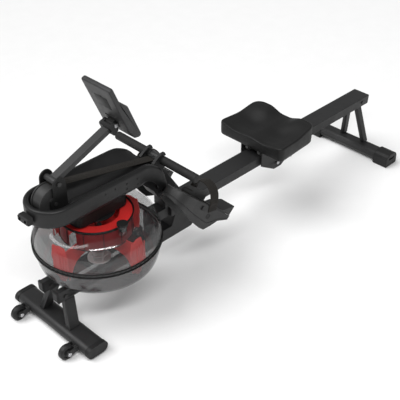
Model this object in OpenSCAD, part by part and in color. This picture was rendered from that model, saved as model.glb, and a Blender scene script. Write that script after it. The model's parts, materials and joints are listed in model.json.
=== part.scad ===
// Water-resistance rowing machine: tank end at -X, seat rail end at +X,
// Z up from the floor, all sizes in mm.

/* [Frame] */
// Width of the seat rail tube
rail_w = 90; // [70:1:110]
// Height of the seat rail tube
rail_h = 45; // [35:1:60]
// Height of the rail's top face above the floor
rail_top = 303; // [260:1:340]
// Width of the front stabilizer, end cap to end cap
front_stab_len = 460; // [400:5:520]
// Width of the rear stabilizer, end cap to end cap
rear_stab_len = 496; // [420:2:540]
// Radius of the transport wheels
wheel_r = 31.5; // [25:0.5:40]
// Centre of each transport wheel from the middle plane
wheel_y = 150; // [120:1:180]

/* [Water tank] */
// Outer radius of the tank flange
tank_r = 250; // [220:1:280]
// Height of the tank's top face
tank_top = 447; // [420:1:480]
// Wall thickness of both tank halves
tank_wall = 4; // [3:0.5:6]
// Number of paddles on the rotor
paddles = 4; // [3:1:6]
// Outer radius of the rotor drum
drum_r = 140; // [110:1:160]
// Outer radius of the paddles
paddle_r = 210; // [180:1:220]
// Number of screws round the flange
flange_screws_n = 16; // [8:1:24]

/* [Head and console] */
// Half width of the head cover
cover_y = 98.7; // [90:0.1:110]
// Height of the cover's side edges
cover_top = 601; // [590:1:610]
// Radius of the strap roller's flanges
roller_r = 58; // [50:1:60]
// Width of the console arm
arm_w = 34; // [30:1:44]
// Angle of the console arm above level at rest
arm_tilt = 21.7; // [10:0.1:30]
// Angle of the console face from level
panel_tilt = 67; // [50:1:80]
// Width of the console
panel_w = 154; // [120:1:180]

/* [Handle] */
// Length of the handlebar
bar_len = 452; // [400:2:480]
// Radius of the handlebar grips
grip_r = 17.5; // [14:0.5:20]
// Width of the pull strap
strap_w = 41; // [30:1:44]

/* [Foot plates] */
// Slope of the foot plates
foot_tilt = 42.6; // [35:0.1:50]
// Width of each foot plate
foot_w = 115; // [100:1:118]
// Outer edge of each foot plate from the middle plane
foot_out = 215; // [205:1:225]

/* [Seat] */
// Width of the seat cushion
seat_w = 368; // [300:2:400]
// Length of the seat cushion
seat_l = 246; // [220:2:280]
// Height of the cushion's underside
seat_bottom = 354; // [345:1:365]

/* [Hidden] */
$fn = 96;
rail_bottom = rail_top - rail_h;
rail_end = 1016;
rail_start = -340;
// Front end: stabilizer, wheels, floor feet and the two tubes under the tank
front_x = -898;
front_feet_y = 190;
wheel_x = -984.5;
wheel_pin_r = 5;
wheel_cheek = 18;
tube_y0 = 32;
tube_y1 = 57;
tube_z = 170;
tube_bolt_x = [-896, -846];
tube_bolt_z = 190;
upright_lean = 0.17;
tube_bolt_r = 4;
// Rear end: caps, stabilizer and legs, with the legs' lean along X and Y per mm of height
cap_depth = 60;
leg_base_z = 56;
leg_lean = [-0.2, -0.185];
// Tank and rotor
tank_x = -684;
bowl_floor = 224;
seam_low = 327;
seam_high = 335;
filler_x = -12;
filler_y = -170;
filler_r = 14;
shaft_r = 8;
drum_low = 358;
drum_high = 436;
paddle_turn = 11;
paddle_t = 4;
// Head: cover, strap roller, console arm pivot and their side plates
cover_x = -869.5;
roller_x = -879;
roller_z = 595;
roller_pin_r = 6;
pivot_x = -858;
pivot_z = 666;
pivot_pin_r = 5;
ear_y0 = 34;
ear_y1 = 40;
screw_spots = [[-703, 574], [-658, 575], [-603, 572], [-603, 550], [-551.5, 571], [-550, 546]];
tail_y = 92;
// Handlebar and its core
bar_x = -373;
bar_z = 545;
bar_core_r = 12.5;
// Foot plates: start of the line along the sole, the centre of the rounded nose, the heel end,
// the axle and stay along and below the sole, the inner guard's near face and the inner edge
// of the narrower heel
toe_x = -516;
toe_z = 581;
nose_s = 167;
foot_l = 460;
wall_t = 6;
axle_s = 327;
axle_t = -40;
axle_r = 12;
stay_s = 185;
stay_t = -28;
stay_r = 9;
guard_y = 108;
heel_in = 142;
strap_s = 299;
strap_lean = 30;
strap_l = 46;
// Seat carriage and its rollers
seat_x = 301;
roller_pin = 5;
top_roller_r = 19;
top_roller_x = 84;
top_roller_z = rail_top + top_roller_r + 0.4;
low_roller_r = 17;
low_roller_x = [-2, 88];
low_roller_z = rail_bottom - low_roller_r - 0.4;
plate_y = 57;
plate_t = 6;
// Radial play of every running fit
run = 0.05;
// Console: corner of its face, then the tilt axis along and behind the face
console_x = -640;
console_z = 947;
console_l = 222;
console_top = -7;
tilt_d = 173;
tilt_n = -15;
tilt_r = 4;
clamp_y = 32;
arm_low = -14.5;
arm_high = 5.5;
arm_end = 280;

// ---------- helpers ----------
module slab(y0, y1) {
  translate([0, y1, 0]) rotate([90, 0, 0]) linear_extrude(y1 - y0) children();
}
module rod(x, z, r, y0, y1) {
  translate([x, y0, z]) rotate([-90, 0, 0]) cylinder(h = y1 - y0, r = r);
}
module both() {
  children();
  mirror([0, 1, 0]) children();
}
module slot2(l, r) {
  union() {
    square([l, 2 * r], center = true);
    translate([-l / 2, 0]) circle(r = r);
    translate([l / 2, 0]) circle(r = r);
  }
}
module round_rect(l, w, r) {
  union() {
    square([l - 2 * r, w], center = true);
    square([l, w - 2 * r], center = true);
    for (x = [-1, 1], y = [-1, 1])
      translate([x * (l / 2 - r), y * (w / 2 - r)]) circle(r = r);
  }
}
module foot_frame() {
  translate([toe_x, 0, toe_z]) rotate([0, foot_tilt, 0]) children();
}
module console_frame() {
  translate([console_x, 0, console_z]) rotate([0, panel_tilt, 0]) children();
}
module arm_frame() {
  translate([pivot_x, 0, pivot_z]) rotate([0, -arm_tilt, 0]) children();
}

// ---------- base ----------
module front_stabilizer() {
  color("#2b2b2b") translate([front_x, 0, 33])
    rotate([90, 0, 0]) linear_extrude(front_stab_len - 40, center = true) slot2(46, 23);
}
module front_caps() {
  color("#333333") both()
    translate([front_x, front_stab_len / 2, 33]) rotate([90, 0, 0])
      linear_extrude(19.5) slot2(48, 24);
}
module front_feet() {
  color("#1b1b1b") both() translate([front_x, front_feet_y, 0]) cylinder(h = 10, r = 16);
}
module wheel_brackets() {
  color("#232323") both() translate([0, wheel_y, 0]) difference() {
    union() {
      for (s = [-1, 1]) slab(s * wheel_cheek - 2, s * wheel_cheek + 2) union() {
        translate([wheel_x, wheel_r]) circle(r = 13);
        polygon([[wheel_x - 6, wheel_r + 11.5], [-944.5, 46], [-944.5, 24], [wheel_x + 6, wheel_r - 11.5]]);
      }
      translate([-947, -20, 24]) cube([3, 40, 22]);
    }
    rod(wheel_x, wheel_r, wheel_pin_r, -30, 30);
  }
}
module wheel_pins() {
  color("#8c8c8c") both() translate([0, wheel_y, 0]) union() {
    rod(wheel_x, wheel_r, wheel_pin_r, -wheel_cheek - 2, wheel_cheek + 2);
    both() rod(wheel_x, wheel_r, wheel_pin_r + 3, wheel_cheek + 2, wheel_cheek + 7);
  }
}
module wheel(y) {
  color("#202020") translate([wheel_x, y, wheel_r]) rotate([90, 0, 0]) rotate_extrude()
    polygon([[wheel_pin_r + run, -14], [12, -14], [12, -9], [20, -9], [20, -12.5], [27, -12.5],
      [wheel_r, -8], [wheel_r, 8], [27, 12.5], [20, 12.5], [20, 9], [12, 9], [12, 14],
      [wheel_pin_r + run, 14]]);
}
module wheel_left() { wheel(wheel_y); }
module wheel_right() { wheel(-wheel_y); }
module front_uprights() {
  color("#2e2e2e") both()
    multmatrix([[1, 0, upright_lean, -upright_lean * 56], [0, 1, 0, 0], [0, 0, 1, 0], [0, 0, 0, 1]])
      translate([front_x + 22, 0, 0]) rotate([90, 0, -90]) linear_extrude(45)
        polygon([[-tube_y0, tube_z], [-tube_y1, tube_z], [-97, 56], [-72, 56]]);
}
module lower_tubes() {
  color("#2a2a2a") both() difference() {
    translate([-926, tube_y0, tube_z]) cube([496, tube_y1 - tube_y0, 50]);
    for (x = tube_bolt_x) rod(x, tube_bolt_z, tube_bolt_r, tube_y0 - 5, tube_y1 + 5);
  }
}
module lower_tube_caps() {
  color("#3a3a3a") both() slab(tube_y0 - 1, tube_y1 + 1)
    polygon([[-926, 222], [-934, 222], [-936, 218], [-936, 186], [-934, 178], [-930, 171], [-926, 168]]);
}
module frame_bolts() {
  color("#4a4a4a") both() {
    for (x = tube_bolt_x) union() {
      rod(x, tube_bolt_z, tube_bolt_r, tube_y0, tube_y1);
      rod(x, tube_bolt_z, tube_bolt_r + 4, tube_y1, tube_y1 + 4);
      rod(x, tube_bolt_z, tube_bolt_r + 3, tube_y0 - 4, tube_y0);
    }
    for (x = [-236, 962]) rod(x, rail_bottom + 22, 7, rail_w / 2, rail_w / 2 + 4);
  }
}
module centre_beam() {
  color("#2a2a2a") union() {
    slab(-32, 32) polygon([[-520, 144], [-214, 144], [-184, 170], [-184, rail_bottom],
      [-302, rail_bottom], [-327, 199], [-400, 199], [-400, rail_bottom], [-427, rail_bottom],
      [-427, 199], [-520, 199]]);
    slab(-30, 30) polygon([[-427, rail_bottom], [rail_start, rail_bottom], [rail_start, rail_top],
      [-427, rail_top]]);
  }
}
module pillar() {
  color("#2d2d2d") difference() {
    slab(-34, 34) polygon([[-494, 537.5], [-481, 483], [-418, 416], [-400, 383], [-362, 344], [-362, rail_top],
      [-240, rail_top], [-290, 384], [-368, 506], [-405, 503], [-413.5, 524], [-427, 537.5]]);
    foot_frame() rod(stay_s, stay_t, stay_r, -40, 40);
    foot_frame() rod(axle_s, axle_t, axle_r, -40, 40);
  }
}
module seat_rail() {
  color("#303030") difference() {
    slab(-rail_w / 2, rail_w / 2) polygon([[rail_start, rail_bottom], [rail_end - 8, rail_bottom],
      [rail_end - 4, rail_bottom + 6], [rail_end, rail_top], [rail_start, rail_top]]);
    slab(-rail_w / 2 + 3, rail_w / 2 - 3) translate([rail_start + 4, rail_bottom + 3])
      square([rail_end - rail_start - 24, rail_h - 6]);
  }
}
module rear_legs() {
  color("#2f2f2f") both()
    multmatrix([[1, 0, leg_lean[0], 0], [0, 1, leg_lean[1], 0], [0, 0, 1, 0], [0, 0, 0, 1]])
      translate([1002.2, 73.4, leg_base_z]) linear_extrude(rail_bottom - leg_base_z) slot2(22, 11);
}
module rear_section() {
  polygon([[946, 14], [996, 14], [1006, 18], [1011, 28], [1011, 40], [1004, 51], [994, 56], [948, 56],
    [938, 51], [931, 40], [931, 28], [936, 18]]);
}
module rear_stabilizer() {
  color("#2b2b2b") slab(-rear_stab_len / 2 + cap_depth, rear_stab_len / 2 - cap_depth) rear_section();
}
module rear_caps() {
  color("#363636") both() difference() {
    slab(rear_stab_len / 2 - cap_depth - 21, rear_stab_len / 2)
      polygon([[931, 0], [1013, 0], [1016, 4], [1016, 44], [1010, 56], [998, 64], [984, 67],
        [960, 67], [946, 64], [934, 56], [928, 44], [928, 4]]);
    slab(rear_stab_len / 2 - cap_depth - 22, rear_stab_len / 2 - cap_depth) rear_section();
    translate([952, rear_stab_len / 2 - 6, 34]) cube([40, 10, 12]);
  }
}

// ---------- tank ----------
module tank_bowl() {
  color("#6f7072", 0.45) translate([tank_x, 0, 0]) rotate_extrude() polygon([
    [0, 220], [198, 220], [214, 225], [225, 236], [231, 252], [237, 276], [241, 300], [243, 322],
    [tank_r, 322], [tank_r, seam_low], [239, seam_low], [237, 300], [233, 277], [227, 254], [222, 240],
    [212, 229], [198, bowl_floor], [0, bowl_floor]]);
}
module tank_dome() {
  color("#8c8f92", 0.35) translate([tank_x, 0, 0]) difference() {
    union() {
      rotate_extrude() polygon([
        [14, tank_top], [180, tank_top], [196, 443], [212, 434], [225, 420], [234, 404], [241, 386],
        [245, 364], [246, 340], [tank_r, 340], [tank_r, seam_high], [242, seam_high], [241, 364], [237, 385],
        [230, 402], [222, 417], [210, 430], [195, 439], [180, tank_top - tank_wall],
        [14, tank_top - tank_wall]]);
      translate([filler_x, filler_y, tank_top]) cylinder(h = 28, r = filler_r + 3);
    }
    translate([filler_x, filler_y, tank_top - 10]) cylinder(h = 50, r = filler_r);
  }
}
module tank_gasket() {
  color("#191919") translate([tank_x, 0, 0]) rotate_extrude()
    polygon([[239, seam_low], [tank_r + 1.5, seam_low], [tank_r + 1.5, seam_high], [242, seam_high]]);
}
module flange_screws() {
  color("#3b3b3b") translate([tank_x, 0, 0]) for (i = [0 : flange_screws_n - 1])
    rotate([0, 0, (i + 0.5) * 360 / flange_screws_n]) translate([tank_r - 2, 0, 340])
      cylinder(h = 4, r = 1.8);
}
module filler_plug() {
  color("#1c1c1c") translate([tank_x + filler_x, filler_y, 0]) union() {
    translate([0, 0, tank_top + 28.4]) cylinder(h = 8, r = filler_r + 7);
    translate([0, 0, tank_top + 4]) cylinder(h = 24.6, r = filler_r - 0.4);
  }
}
module lower_bearing() {
  color("#d9dadb") translate([tank_x, 0, bowl_floor]) difference() {
    union() {
      cylinder(h = 6, r = 46);
      cylinder(h = 34, r = 20);
      for (i = [0 : 5]) rotate([0, 0, 60 * i]) translate([18, -2, 0]) cube([22, 4, 20]);
    }
    translate([0, 0, 6]) cylinder(h = 40, r = shaft_r + run);
  }
}
module bearing_flange() {
  color("#161616") translate([tank_x, 0, tank_top]) difference() {
    cylinder(h = 5, r = 76);
    translate([0, 0, -1]) cylinder(h = 8, r = shaft_r + run);
  }
}
module rotor() {
  color("#b3201f") translate([tank_x, 0, 0]) difference() {
    union() {
      translate([0, 0, drum_low]) cylinder(h = drum_high - drum_low + 3.6, r = drum_r);
      translate([0, 0, 300]) cylinder(h = drum_high - 300, r = 3 * shaft_r);
      for (i = [0 : paddles - 1]) rotate([0, 0, paddle_turn + i * 360 / paddles])
        translate([drum_r - 8, -paddle_t / 2, 245])
          cube([paddle_r - drum_r + 8, paddle_t, drum_low - 241]);
    }
    translate([0, 0, drum_low + 8]) difference() {
      cylinder(h = 70, r = drum_r - 3);
      cylinder(h = 70, r = 3 * shaft_r);
    }
    translate([0, 0, drum_high - 1]) difference() {
      cylinder(h = 6, r = 91);
      cylinder(h = 6, r = 3 * shaft_r);
    }
    for (i = [0 : paddles - 1]) rotate([0, 0, paddle_turn + 45 + i * 360 / paddles]) translate([0, 0, 350])
      linear_extrude(20) difference() {
        polygon([[30, -14], [drum_r - 14, -62], [drum_r - 14, 62], [30, 14]]);
        circle(r = 34);
      }
    for (a = [-40, 140]) rotate([0, 0, a]) translate([85, -10, drum_low + 18]) cube([80, 62, 80]);
    translate([0, 0, 290]) cylinder(h = 160, r = shaft_r);
  }
}
module rotor_shaft() {
  color("#c9c9c9") translate([tank_x, 0, bowl_floor + 10]) cylinder(h = 290, r = shaft_r);
}
module drive_pulley() {
  color("#444444") translate([tank_x, 0, 478]) difference() {
    rotate_extrude() polygon([[0, 0], [46, 0], [46, 4], [40, 8], [40, 22], [46, 26], [46, 30], [0, 30]]);
    translate([0, 0, -1]) cylinder(h = 32, r = shaft_r);
  }
}
module speed_sensor() {
  color("#151515") translate([tank_x - 40, -70, 0]) union() {
    translate([0, 0, 410]) cylinder(h = tank_top - tank_wall - 410, r = 9);
    translate([6, 0, 404]) sphere(r = 6);
    translate([6, 0, 404]) cylinder(h = 10, r = 6);
  }
}
module drive_housing() {
  color("#1d1d1d") difference() {
    translate([-687, 0, 452]) linear_extrude(84) round_rect(242, 120, 32);
    translate([-687, 0, 456]) linear_extrude(90) round_rect(234, 112, 28);
    translate([tank_x, 0, 440]) cylinder(h = 30, r = 24);
  }
}

// ---------- head ----------
module head_frame() {
  color("#262626") union() {
    both() slab(ear_y0, ear_y1) polygon([[-905, 540], [-494, 540], [-480, 520], [-446, 515], [-440, 522],
      [-446, 540], [-560, 555], [-720, 562], [-905, 562]]);
    translate([-812, -ear_y0, 540]) cube([60, 2 * ear_y0, 6]);
    translate([-560, -ear_y0, 540]) cube([50, 2 * ear_y0, 6]);
  }
}
function side_outer() = [[-980, 535], [-527, 533], [-509, 537], [-489, 528], [-469, 513], [-456, 500],
  [-447, 483], [-440, 470], [-434, 456], [-394, 456], [-399, 480], [-404, 505], [-413, 532],
  [-424, 550], [-438, 568], [-459, 582], [-481, 593], [-505, 600], [-980, 602]];
function side_inner() = [[-980, 500], [-527, 500], [-490, 480], [-470, 440], [-398, 440], [-402, 480],
  [-407.5, 504], [-416.5, 530], [-427, 547.5], [-440.5, 565], [-461, 578.5], [-482, 589], [-506, 595.5],
  [-980, 597.5]];
module plan_outer() {
  union() {
    translate([cover_x, 0]) circle(r = cover_y);
    translate([cover_x, -cover_y]) square([-544 - cover_x, 2 * cover_y]);
    translate([-545, -tail_y]) square([165, 2 * tail_y]);
  }
}
module plan_inner() {
  union() {
    translate([cover_x, 0]) circle(r = cover_y - 4);
    translate([cover_x, -cover_y + 4]) square([-548 - cover_x, 2 * cover_y - 8]);
    translate([-549, -tail_y + 4]) square([170, 2 * tail_y - 8]);
  }
}
module cross_section(top, inset) {
  polygon([[-cover_y + inset, 400], [cover_y - inset, 400], [cover_y - inset, top - 8], [cover_y - inset - 6, top],
    [-cover_y + inset + 6, top], [-cover_y + inset, top - 8]]);
}
module valley(lower) {
  translate([-830, 0, 572 - lower]) rotate([0, 3.4, 0]) along_x(-200, 460)
    polygon([[-80, 34], [-24, 0], [24, 0], [80, 34], [80, 90], [-80, 90]]);
}
module along_x(x0, x1) {
  translate([x0, 0, 0]) rotate([90, 0, 90]) linear_extrude(x1 - x0) children();
}
module head_cover() {
  color("#2c2c2c") difference() {
    intersection() {
      translate([0, 0, 400]) linear_extrude(260) plan_outer();
      slab(-120, 120) polygon(side_outer());
      along_x(-1000, -380) cross_section(cover_top, 0);
    }
    valley(0);
    difference() {
      intersection() {
        translate([0, 0, 390]) linear_extrude(260) plan_inner();
        slab(-120, 120) polygon(side_inner());
        along_x(-1010, -370) cross_section(cover_top - 4, 4);
      }
      valley(3.6);
    }
    translate([roller_x - 61, -31, 520]) cube([122, 62, 120]);
    both() translate([-900, 33.5, 540]) cube([72.5, 7, 120]);
    slab(-34.5, 34.5) polygon([[-425, 440], [-380, 440], [-380, 504.5], [-404, 504.5], [-412.5, 524.5],
      [-425, 537]]);
  }
}
module cover_screws() {
  color("#3a3a3a") {
    both() for (p = screw_spots) rod(p[0], p[1], 4.5, cover_y, cover_y + 2.4);
  }
}
module front_hook() {
  color("#262626") difference() {
    slab(-28, 28) polygon([[-969.5, 549], [-990, 549], [-996, 554], [-996, 572], [-990, 577], [-969.5, 577]]);
    for (y = [-16, 16]) translate([-1000, y - 6, 555]) cube([12, 12, 16]);
    translate([cover_x, 0, 540]) cylinder(h = 50, r = cover_y);
  }
}
module strap_roller() {
  color("#484848") translate([roller_x, 0, roller_z]) rotate([90, 0, 0]) rotate_extrude() polygon([
    [roller_pin_r + run, -28], [20, -28], [20, -27], [roller_r, -27], [roller_r, -23], [46, -22],
    [46, 22], [roller_r, 23], [roller_r, 27], [20, 27], [20, 28], [roller_pin_r + run, 28]]);
}
module pivot_bracket() {
  color("#282828") both() difference() {
    slab(ear_y0, ear_y1) union() {
      polygon([[-899, 562], [-828, 562], [-828, 664], [-883.5, 664], [-886, 620], [-899, 612]]);
      translate([-855.7, 662.5]) circle(r = 27.7);
    }
    rod(roller_x, roller_z, roller_pin_r, ear_y0 - 4, ear_y1 + 4);
    rod(pivot_x, pivot_z, pivot_pin_r, ear_y0 - 4, ear_y1 + 4);
  }
}
module head_pins() {
  color("#8a8a8a") union() {
    rod(roller_x, roller_z, roller_pin_r, -ear_y1, ear_y1);
    both() rod(roller_x, roller_z, roller_pin_r + 1, ear_y1, ear_y1 + 4);
  }
  color("#777777") union() {
    rod(pivot_x, pivot_z, pivot_pin_r, -ear_y1, ear_y1);
    both() rod(pivot_x, pivot_z, pivot_pin_r + 3.5, ear_y1, ear_y1 + 5);
  }
}
module console_arm() {
  color("#474747") arm_frame() difference() {
    union() {
      translate([8, -arm_w / 2, arm_low]) cube([arm_end - 8, arm_w, arm_high - arm_low]);
      rod(0, 0, 12, -32, 32);
    }
    rod(0, 0, pivot_pin_r + run, -35, 35);
  }
}
module console_clamp() {
  color("#1e1e1e") difference() {
    union() {
      arm_frame() slab(-clamp_y, clamp_y)
        polygon([[271, -20], [276, -26], [285, -26], [285, 18], [276, 18], [271, 13]]);
      both() slab(19, clamp_y) hinge_lug();
    }
    arm_frame() translate([arm_end - 34, -arm_w / 2, arm_low]) cube([34, arm_w, arm_high - arm_low]);
    console_frame() rod(tilt_d, tilt_n, tilt_r, -40, 40);
  }
}
module hinge_lug() {
  translate([console_x + tilt_d * cos(panel_tilt) + tilt_n * sin(panel_tilt),
    console_z - tilt_d * sin(panel_tilt) + tilt_n * cos(panel_tilt)]) rotate(arm_tilt) union() {
      circle(r = 10);
      polygon([[-20, -32], [2, -26], [9.5, -6], [9.5, 4], [-2, 9.8], [-20, 9.8]]);
    }
}
module console_body() {
  color("#3d3d3d") console_frame() difference() {
    union() {
      translate([console_top + console_l / 2, 0, 0]) linear_extrude(20)
        round_rect(console_l, panel_w, 10);
      intersection() {
        slab(-panel_w / 2, panel_w / 2)
          polygon([[60, 19], [106, 43], [248, 43], [254, 38], [255, 28], [245, 10], [215, 2], [190, 8], [60, 8]]);
        translate([155, 0, -10]) linear_extrude(80) round_rect(202, panel_w, 16);
      }
      slab(-18.5, 18.5) union() {
        translate([tilt_d, tilt_n]) circle(r = 9);
        translate([tilt_d - 9, tilt_n]) square([18, 16]);
      }
      translate([tilt_d - 22, -30, -2]) cube([44, 60, 4]);
    }
    translate([50, -34, -1]) cube([56, 68, 4]);
    translate([119, -55, 42]) cube([90, 110, 5]);
    rod(tilt_d, tilt_n, tilt_r + run, -20, 20);
  }
}
module console_screen() {
  color("#0d1114") console_frame() translate([120, -54, 42]) cube([88, 108, 1.4]);
}
module tilt_pin() {
  color("#b5b5b5") console_frame() union() {
    rod(tilt_d, tilt_n, tilt_r, -clamp_y, clamp_y);
    both() rod(tilt_d, tilt_n, tilt_r + 3, clamp_y, clamp_y + 3);
  }
}

// ---------- handle ----------
module fork_holder() {
  color("#343434") union() {
    both() slab(31, 43) difference() {
      polygon([[-424, 550], [-413, 532], [-404, 505], [-372, 512], [-352, 521], [-350, 533], [-353, 540],
        [-357, 560], [-364, 577], [-378, 577], [-402, 566]]);
      translate([bar_x, bar_z]) circle(r = grip_r + 1.2);
      translate([bar_x, bar_z - grip_r - 1.2]) square([60, 2 * grip_r + 2.4]);
    }
    slab(-32, 32) polygon([[-421.5, 546], [-413, 532], [-404, 505], [-398, 508], [-402, 546]]);
  }
}
module handlebar() {
  color("#2b2b2b") rod(bar_x, bar_z, bar_core_r, -bar_len / 2 + 3, bar_len / 2 - 3);
}
module grips() {
  color("#3f3f3f") both() difference() {
    rod(bar_x, bar_z, grip_r, 24, bar_len / 2);
    rod(bar_x, bar_z, bar_core_r, 20, bar_len / 2 - 3);
  }
}
module strap_clip() {
  color("#6b6b6b") difference() {
    union() {
      rod(bar_x, bar_z, 16, -21, 21);
      translate([-396, -21, 541]) cube([16, 42, 12]);
      translate([-389, 0, 552]) cylinder(h = 4, r = 6);
    }
    rod(bar_x, bar_z, bar_core_r, -22, 22);
  }
}
module pull_strap() {
  color("#36322e") slab(-strap_w / 2, strap_w / 2)
    polygon([[-866.4, 648.6], [-396, 546.3], [-396, 548.7], [-865.9, 651]]);
}

// ---------- foot plates ----------
module foot_plan(inset) {
  translate([0, 0, -120]) linear_extrude(200) union() {
    translate([nose_s, foot_out - foot_w / 2]) circle(r = foot_w / 2 - inset);
    polygon([[nose_s, foot_out - foot_w + inset], [400, foot_out - foot_w + inset],
      [foot_l + 4, heel_in + inset], [foot_l + 4, foot_out - inset], [nose_s, foot_out - inset]]);
  }
}
module foot_plate() {
  foot_frame() difference() {
    intersection() {
      union() {
        translate([100, foot_out - foot_w - 1, -8]) cube([foot_l - 100, foot_w + 2, 8]);
        difference() {
          slab(foot_out - foot_w - 1, foot_out + 1) polygon([[100, 0], [100, -38], [126, -52], [192, -72],
            [272, -90], [330, -99], [347, -97], [388, -57], [397, -43], [foot_l, -20], [foot_l, 0]]);
          foot_plan(wall_t);
        }
        slab(guard_y, guard_y + 5) polygon([[232, -4], [232, 17], [262, 34], [396, 40], [396, -4]]);
        translate([300, foot_out - foot_w, -62]) cube([6, foot_w, 56]);
        translate([386, foot_out - foot_w, -44]) cube([6, foot_w, 40]);
      }
      foot_plan(0);
    }
    rod(axle_s, axle_t, axle_r, foot_out - foot_w - 5, foot_out + 5);
    rod(stay_s, stay_t, stay_r, foot_out - foot_w - 5, foot_out - wall_t);
  }
}
module foot_plates() {
  color("#414141") both() foot_plate();
}
module foot_axle() {
  color("#252525") foot_frame() union() {
    rod(axle_s, axle_t, axle_r, -foot_out, foot_out);
    rod(stay_s, stay_t, stay_r, wall_t - foot_out, foot_out - wall_t);
  }
}
module heel_cup() {
  foot_frame() intersection() {
    slab(guard_y + 8, foot_out - 2)
      polygon([[340, 0.4], [foot_l, 0.4], [foot_l + 3, 42], [foot_l - 1, 43], [398, 5], [340, 3.6]]);
    foot_plan(2);
  }
}
module heel_cup_left() { color("#4a4a4a") heel_cup(); }
module heel_cup_right() { color("#4a4a4a") mirror([0, 1, 0]) heel_cup(); }
module strap_arch(r) {
  union() {
    translate([-r, -38]) square([2 * r, 58]);
    translate([0, 20]) circle(r = r);
  }
}
module foot_straps() {
  color("#37322d") both() foot_frame() translate([strap_s, foot_out - foot_w / 2, 0])
    rotate([0, -strap_lean, 0]) rotate([90, 0, 90]) linear_extrude(strap_l) difference() {
      intersection() {
        strap_arch(foot_w / 2 + 2.6);
        translate([-80, -30]) square([160, 130]);
      }
      strap_arch(foot_w / 2);
    }
}
module strap_buckles() {
  color("#1a1a1a") both() foot_frame() translate([262, foot_out, -27]) cube([22, 5, 18]);
}

// ---------- seat ----------
module seat_cushion() {
  color("#262626") intersection() {
    translate([seat_x, 0, seat_bottom]) linear_extrude(90) round_rect(seat_l, seat_w, 34);
    slab(-200, 200) polygon([[170, 350], [170, 398], [182, 406], [250, 402], [330, 404], [380, 422],
      [404, 432], [418, 430], [424, 416], [424, 350]]);
    along_x(170, 430) polygon([[-184, 350], [184, 350], [184, 396], [176, 410], [130, 434], [90, 428],
      [0, 402], [-90, 428], [-130, 434], [-176, 410], [-184, 396]]);
  }
}
module seat_carriage() {
  color("#2a2a2a") difference() {
    union() {
      translate([191, -plate_y - plate_t, seat_bottom - 6]) cube([216, 2 * (plate_y + plate_t), 6]);
      both() slab(plate_y, plate_y + plate_t) polygon([[191, seat_bottom], [191, 264], [279, 212],
        [325, 212], [407, 258], [407, seat_bottom]]);
    }
    for (x = [-top_roller_x, top_roller_x]) rod(seat_x + x, top_roller_z, roller_pin, -80, 80);
    for (x = low_roller_x) rod(seat_x + x, low_roller_z, roller_pin, -80, 80);
  }
}
module top_roller_pair(x) {
  color("#8f8f8f") translate([seat_x + x, 0, top_roller_z]) rotate([90, 0, 0]) for (y = [-34, 34])
    translate([0, 0, y - 8]) difference() {
      cylinder(h = 16, r = top_roller_r);
      translate([0, 0, -1]) cylinder(h = 18, r = roller_pin + run);
    }
}
module top_rollers_front() { top_roller_pair(-top_roller_x); }
module top_rollers_rear() { top_roller_pair(top_roller_x); }
module low_roller(x) {
  color("#8f8f8f") translate([seat_x + x, 0, low_roller_z]) rotate([90, 0, 0]) translate([0, 0, -40])
    difference() {
      cylinder(h = 80, r = low_roller_r);
      translate([0, 0, -1]) cylinder(h = 82, r = roller_pin + run);
    }
}
module low_roller_front() { low_roller(low_roller_x[0]); }
module low_roller_rear() { low_roller(low_roller_x[1]); }
module carriage_pins() {
  color("#b9b9b9") {
    for (x = [-top_roller_x, top_roller_x]) union() {
      rod(seat_x + x, top_roller_z, roller_pin, -plate_y - plate_t, plate_y + plate_t);
      both() rod(seat_x + x, top_roller_z, roller_pin + 3, plate_y + plate_t, plate_y + plate_t + 4);
    }
    for (x = low_roller_x) union() {
      rod(seat_x + x, low_roller_z, roller_pin, -plate_y - plate_t, plate_y + plate_t);
      both() rod(seat_x + x, low_roller_z, roller_pin + 4, plate_y + plate_t, plate_y + plate_t + 6);
    }
  }
}

// ---------- drawing ----------
front_stabilizer();
front_caps();
front_feet();
wheel_brackets();
wheel_pins();
wheel_left();
wheel_right();
front_uprights();
lower_tubes();
lower_tube_caps();
frame_bolts();
centre_beam();
pillar();
seat_rail();
rear_legs();
rear_stabilizer();
rear_caps();
tank_bowl();
tank_dome();
tank_gasket();
flange_screws();
filler_plug();
lower_bearing();
bearing_flange();
rotor();
rotor_shaft();
drive_pulley();
speed_sensor();
drive_housing();
head_frame();
head_cover();
cover_screws();
front_hook();
strap_roller();
pivot_bracket();
head_pins();
console_arm();
console_clamp();
console_body();
console_screen();
tilt_pin();
fork_holder();
handlebar();
grips();
strap_clip();
pull_strap();
foot_plates();
foot_axle();
heel_cup_left();
heel_cup_right();
foot_straps();
seat_cushion();
seat_carriage();
top_rollers_front();
top_rollers_rear();
low_roller_front();
low_roller_rear();
carriage_pins();
strap_buckles();
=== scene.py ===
"""Looks for the water rowing machine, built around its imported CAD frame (metres, +X towards the rail end).
Shapes below are written in millimetres in the same frame and scaled when they become meshes."""
import json
import math

import bmesh
import bpy
from mathutils import Matrix, Vector


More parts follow.
